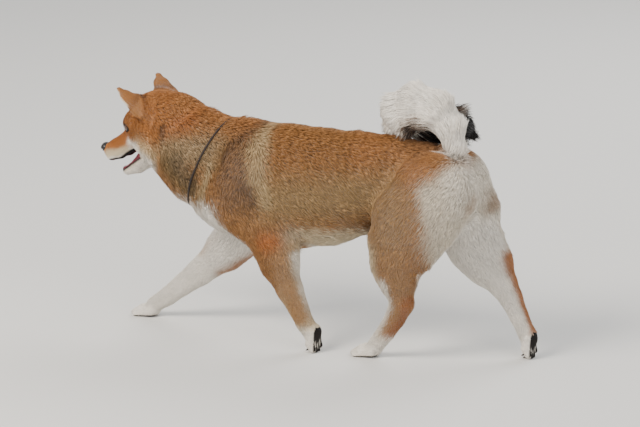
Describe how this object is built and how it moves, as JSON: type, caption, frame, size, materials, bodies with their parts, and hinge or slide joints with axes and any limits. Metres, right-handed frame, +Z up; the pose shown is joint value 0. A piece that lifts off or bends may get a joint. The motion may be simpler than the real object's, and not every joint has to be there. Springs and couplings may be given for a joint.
{
  "type": "shiba inu",
  "caption": "Life-size shiba inu in mid trot, head turned slightly, mouth open, tail curled over the croup, thin round collar.",
  "frame": {"origin": "middle of the footprint of the whole dog, on the floor", "axes": "the dog faces -X, its left side is -Y, +Z is up"},
  "size_m": [0.8096, 0.1888, 0.464],
  "materials": {
    "coat_red": "red double coat with dark-tipped guard hairs, matt",
    "coat_cream": "cream to white double coat, matt",
    "nose_leather": "moist, finely pebbled",
    "eye": "glossy cornea over a dark brown iris",
    "claw": "dark horn, satin",
    "tongue": "wet, pink",
    "tooth": "smooth enamel",
    "collar_cord": "round black cord, satin"
  },
  "bodies": {
    "root": {"neck": "coat_red", "chest": "coat_red", "barrel": "coat_red", "rump": "coat_red", "fore_left_forearm": "coat_red", "fore_left_metacarpus": "coat_red", "fore_left_claw_1": "claw", "fore_left_claw_2": "claw", "fore_left_claw_3": "claw", "fore_left_claw_4": "claw", "fore_left_paw": "coat_cream", "fore_right_forearm": "coat_red", "fore_right_metacarpus": "coat_red", "fore_right_claw_1": "claw", "fore_right_claw_2": "claw", "fore_right_claw_3": "claw", "fore_right_claw_4": "claw", "fore_right_paw": "coat_cream", "hind_left_thigh": "coat_red", "hind_left_shank": "coat_red", "hind_left_metatarsus": "coat_red", "hind_left_claw_1": "claw", "hind_left_claw_2": "claw", "hind_left_claw_3": "claw", "hind_left_claw_4": "claw", "hind_left_paw": "coat_cream", "hind_right_thigh": "coat_red", "hind_right_shank": "coat_red", "hind_right_metatarsus": "coat_red", "hind_right_claw_1": "claw", "hind_right_claw_2": "claw", "hind_right_claw_3": "claw", "hind_right_claw_4": "claw", "hind_right_paw": "coat_cream", "head": "coat_red", "nose": "nose_leather", "eye_left": "eye", "eye_right": "eye", "lower_jaw": "coat_cream", "tongue": "tongue", "tooth_lower_left": "tooth", "tooth_lower_right": "tooth", "ear_left": "coat_red", "ear_right": "coat_red", "tail_base": "coat_cream", "tail_middle": "coat_cream", "tail_end": "coat_cream", "collar": "collar_cord"}
  },
  "joints": []
}
